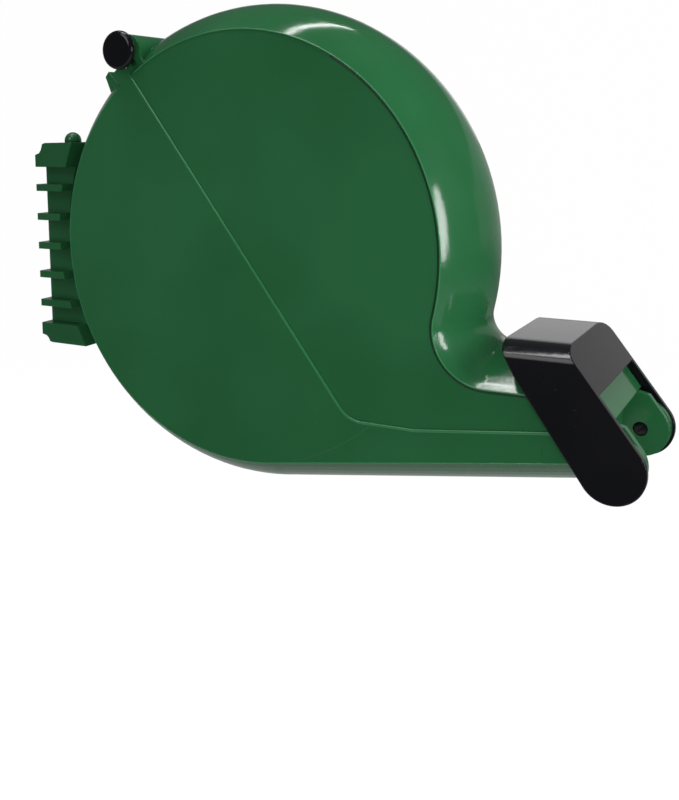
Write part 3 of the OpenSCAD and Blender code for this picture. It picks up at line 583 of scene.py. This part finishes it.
# %% Boxes of a ticket's print
TICKET, FIRST_NUMBER = 50.0, 41
BARS = [(-17, 6, 17, 9), (-12, 38, 12, 39), (-12, 41, 6, 42)]
DIGITS_LEFT, DIGIT_STEP, DIGITS_TOP = -7.5, 9, 33
SLITS, SLITS_LEFT, SLIT_STEP, SLIT_LONG, SLIT_HALF = 20, -19, 2, 1.2, 0.15
BARS_OF_DIGIT = ("abcdef", "bc", "abdeg", "abcdg", "bcfg",
                 "acdfg", "acdefg", "abc", "abcdefg", "abcdfg")
BAR_BOX = {"a": (0, 0, 6, 1.5), "b": (4.5, 0, 6, 6), "c": (4.5, 6, 6, 12), "d": (0, 10.5, 6, 12),
           "e": (0, 6, 1.5, 12), "f": (0, 0, 1.5, 6), "g": (0, 5.25, 6, 6.75)}


def ticket_boxes(number):
    """Corners of a ticket's print in mm, low and high: across from its middle, along from its end.

    Digit number c starts at DIGITS_LEFT + c DIGIT_STEP, slit number i at SLITS_LEFT + i SLIT_STEP.
    """
    boxes = list(BARS)
    for column, digit in enumerate(f"{number:02d}"):
        left = DIGITS_LEFT + DIGIT_STEP * column
        boxes += [(left + x0, DIGITS_TOP - y1, left + x1, DIGITS_TOP - y0)
                  for x0, y0, x1, y1 in (BAR_BOX[bar] for bar in BARS_OF_DIGIT[int(digit)])]
    slits = [(left, -SLIT_HALF, left + SLIT_LONG, SLIT_HALF)
             for left in (SLITS_LEFT + SLIT_STEP * i for i in range(SLITS))]
    return np.array(boxes + slits, dtype=float)


def patches(boxes, start, rows=7, columns=3):
    """Grids of points for all boxes at once: low + (high - low) times a share each way."""
    low, high = boxes[:, None, None, :2], boxes[:, None, None, 2:]
    share = np.stack(np.meshgrid(np.linspace(0, 1, columns), np.linspace(0, 1, rows)), -1)
    return low + (high - low) * share + [0, start]


print("boxes on the first ticket", len(ticket_boxes(FIRST_NUMBER)))

# %% [markdown]
# ## The print follows the paper
# The paper is flat from the mouth to the roll and then goes round it. An image could be laid on it
# with a UV map, but images are not used here. The grids of the print have points across and along
# the ticket, so one function lays them on the flat strip and another wraps them round the roll.
# They stand 0.04 mm proud of the paper, so that the two faces never share a place.

# %% Printed patches
STRIP_RUN = [0.0, 49.84, 55.1, 156.4]
STRIP_X = [265.1, 216.1, 210.85, 110.8]
STRIP_Z = [-65.87, -56.77, -55.88, -39.7]
ROLL_R, PROUD, LEAVES_ROLL = 45.0, 0.04, math.radians(261)


def on_strip(across, along):
    """Flat strip: x and z follow its straight runs from the mouth back to the roll."""
    x, z = np.interp(along, STRIP_RUN, STRIP_X), np.interp(along, STRIP_RUN, STRIP_Z) + PROUD
    return np.stack([x, across, z], -1) * MM


def on_roll(across, along):
    """Round the roll: the angle goes down by length over radius from where the strip leaves."""
    angle = LEAVES_ROLL - (along - STRIP_RUN[-1]) / ROLL_R
    radius = ROLL_R + PROUD
    around = np.stack([radius * np.cos(angle), across, radius * np.sin(angle)], -1)
    return around * MM + np.array(DRUM)


def printed(name, wrap, tickets, body):
    """One mesh of all patches of these tickets, laid on the paper by wrap."""
    grids = np.concatenate([patches(ticket_boxes(FIRST_NUMBER + i), TICKET * i) for i in tickets])
    count, rows, columns = grids.shape[:3]
    points = wrap(grids[..., 0], grids[..., 1]).reshape(-1, 3)
    quads = grid_faces(rows, columns)[:, ::-1]
    faces = (quads + rows * columns * np.arange(count)[:, None, None]).reshape(-1, 4)
    mesh = bpy.data.meshes.new(name)
    mesh.from_pydata(points, [], faces.tolist())
    mesh.materials.append(ink.material)
    return stands_on(placed(name, mesh), body)


ink = wound("ticket_ink", (0.04, 0.05, 0.05), (0.08, 0.09, 0.09), 0.35 * MM)
strip_print = printed("strip_print", on_strip, range(0, 3), "base")
roll_print = printed("roll_print", on_roll, range(4, 8), "roll")
print("print", {o.name: (len(o.data.polygons), [round(n, 2) for n in o.data.polygons[0].normal])
                for o in (strip_print, roll_print)})

# %% [markdown]
# ## White sweep
# The box hangs on a wall, so nothing stands under it. A floor 45 cm below its middle curves up into
# a back wall and gives the plain background. A white floor under strong light would do the same,
# but that light would bleach the object. The sweep glows white only to the camera and, a third as
# strongly and only where it rises from the floor, to gloss. To all other light it is a matt grey
# that takes a shadow and throws little light up.

# %% Floor and backdrop
FLOOR_Z = -0.45
sweep = Finish("studio_sweep")
ray = sweep.add("LightPath", {}, {}, "Is Camera Ray")
height = sweep.add("SeparateXYZ", {}, {0: sweep.place()}).twin("Z")
mirrored_wall = ray.twin("Is Glossy Ray") * height.above(-0.4, 0.3)
seen = ray + 0.3 * mirrored_wall
glow = sweep.add("Emission", {}, {"Color": (1, 1, 1, 1), "Strength": 1.04})
matt = sweep.add("BsdfDiffuse", {}, {"Color": (0.35, 0.35, 0.35, 1)})
blend = sweep.add("MixShader", {}, {0: seen * 0.95, 1: matt, 2: glow})
sweep.tree.links.new(blend.socket, sweep.tree.nodes["Material Output"].inputs["Surface"])


def sweep_grid(across, along, front, back, bend, wall, half_width):
    """Grid points of a floor from y = front that curves up into a wall at y = back.

    At length t along the sweep and turn a = (t - flat) / bend, held between 0 and a quarter turn:
    y = front + the flat part of t + bend sin a, z = floor + bend (1 - cos a) + what is left of t.
    """
    curve, flat = bend * math.pi / 2, back - bend - front
    t = np.linspace(0, flat + curve + wall, along)
    turn = np.clip((t - flat) / bend, 0, math.pi / 2)
    grid = np.empty((along, across, 3))
    grid[..., 0] = np.linspace(-half_width, half_width, across)
    grid[..., 1] = (front + np.minimum(t, flat) + bend * np.sin(turn))[:, None]
    risen = bend - bend * np.cos(turn) + np.maximum(t - flat - curve, 0)
    grid[..., 2] = (FLOOR_Z + risen)[:, None]
    return grid


sweep_points = sweep_grid(across=9, along=60, front=-0.65, back=2.4, bend=0.6, wall=0.95,
                          half_width=4.0)
floor = surface("studio_sweep", sweep_points, sweep.material)
print("sweep reaches up to", round(float(sweep_points[..., 2].max()), 2), "m")

# %% [markdown]
# ## The room around it
# Where gloss looks past the sweep and the lamps, it mirrors the rest of a room. A picture of a real
# room would bring foreign shapes into the plastic, so the world is one dim cool grey. The camera
# sees it as white, so that the background stays plain past the edge of the sweep.

# %% World
ROOM_COLOUR, ROOM_LIGHT = (0.80, 0.85, 0.88, 1), 0.11
world = bpy.data.worlds.new("studio")
bpy.context.scene.world = world
world.use_nodes = True
tree = world.node_tree
room = tree.nodes["Background"]
room.inputs["Color"].default_value = ROOM_COLOUR
room.inputs["Strength"].default_value = ROOM_LIGHT
white_view = tree.nodes.new("ShaderNodeBackground")
white_view.inputs["Color"].default_value = (1, 1, 1, 1)
choose = tree.nodes.new("ShaderNodeMixShader")
tree.links.new(tree.nodes.new("ShaderNodeLightPath").outputs["Is Camera Ray"], choose.inputs[0])
tree.links.new(room.outputs[0], choose.inputs[1])
tree.links.new(white_view.outputs[0], choose.inputs[2])
tree.links.new(choose.outputs[0], tree.nodes["World Output"].inputs["Surface"])
print("room light", ROOM_LIGHT)

# %% [markdown]
# ## Lamps
# Gloss is mostly what it mirrors, so the bright marks on the rim and in the hollow of the neck are
# pictures of lamps. Large lamps all round would wash the panels out. The mirrored lamps are
# therefore placed one by one: the line from the camera to a mark, turned back at the surface as a
# mirror would, points at the place of its lamp. They are a window in front, two long tubes
# overhead, a dim wall behind and a narrow doorway on the right. Four more lamps give the soft light
# on the shapes and are kept out of all reflections. Ovals have no corners, so no mark looks cut
# out.

# %% Lamps
# name, place in metres, width and height in metres, power in watts
MIRRORED_LAMPS = (("front_window", (-0.15, -1.25, 0.76), (0.9, 0.8), 6.5),
                  ("near_tube", (-0.13, -0.36, 1.4), (2.0, 0.06), 6),
                  ("far_tube", (-0.13, 0.05, 1.4), (2.0, 0.06), 5),
                  ("far_wall", (-0.14, 1.43, 0.32), (0.6, 0.4), 0.3),
                  ("doorway", (1.65, -0.46, 0.17), (0.16, 0.8), 5))
HIDDEN_LAMPS = (("side_fill", (0.75, -0.90, -0.04), (0.6, 0.6), 6.5),
                ("back_fill", (-0.4, 1.4, 0.3), (1.0, 1.0), 12),
                ("side", (1.3, -0.1, 0.5), (0.7, 0.7), 10),
                ("ceiling", (0.2, 0.3, 1.5), (1.0, 1.0), 10))


def lamp(name, place, size, power, mirrored):
    """A soft oval lamp of this width and height that faces the drum, seen in gloss if mirrored."""
    light = bpy.data.lights.new(name, "AREA")
    light.shape, light.energy = "ELLIPSE", power
    light.size, light.size_y = size
    obj = placed(name, light)
    obj.location, obj.visible_glossy, obj.visible_camera = place, mirrored, False
    obj.rotation_euler = (Vector(place) - DRUM).to_track_quat("Z", "Y").to_euler()
    return obj


lamps = [lamp(*row, mirrored=False) for row in HIDDEN_LAMPS]
lamps += [lamp(*row, mirrored=True) for row in MIRRORED_LAMPS]
bpy.context.scene.view_settings.view_transform = "Standard"
print("lamps", [(obj.name, obj.data.energy) for obj in lamps])

# %% [markdown]
# ## The end
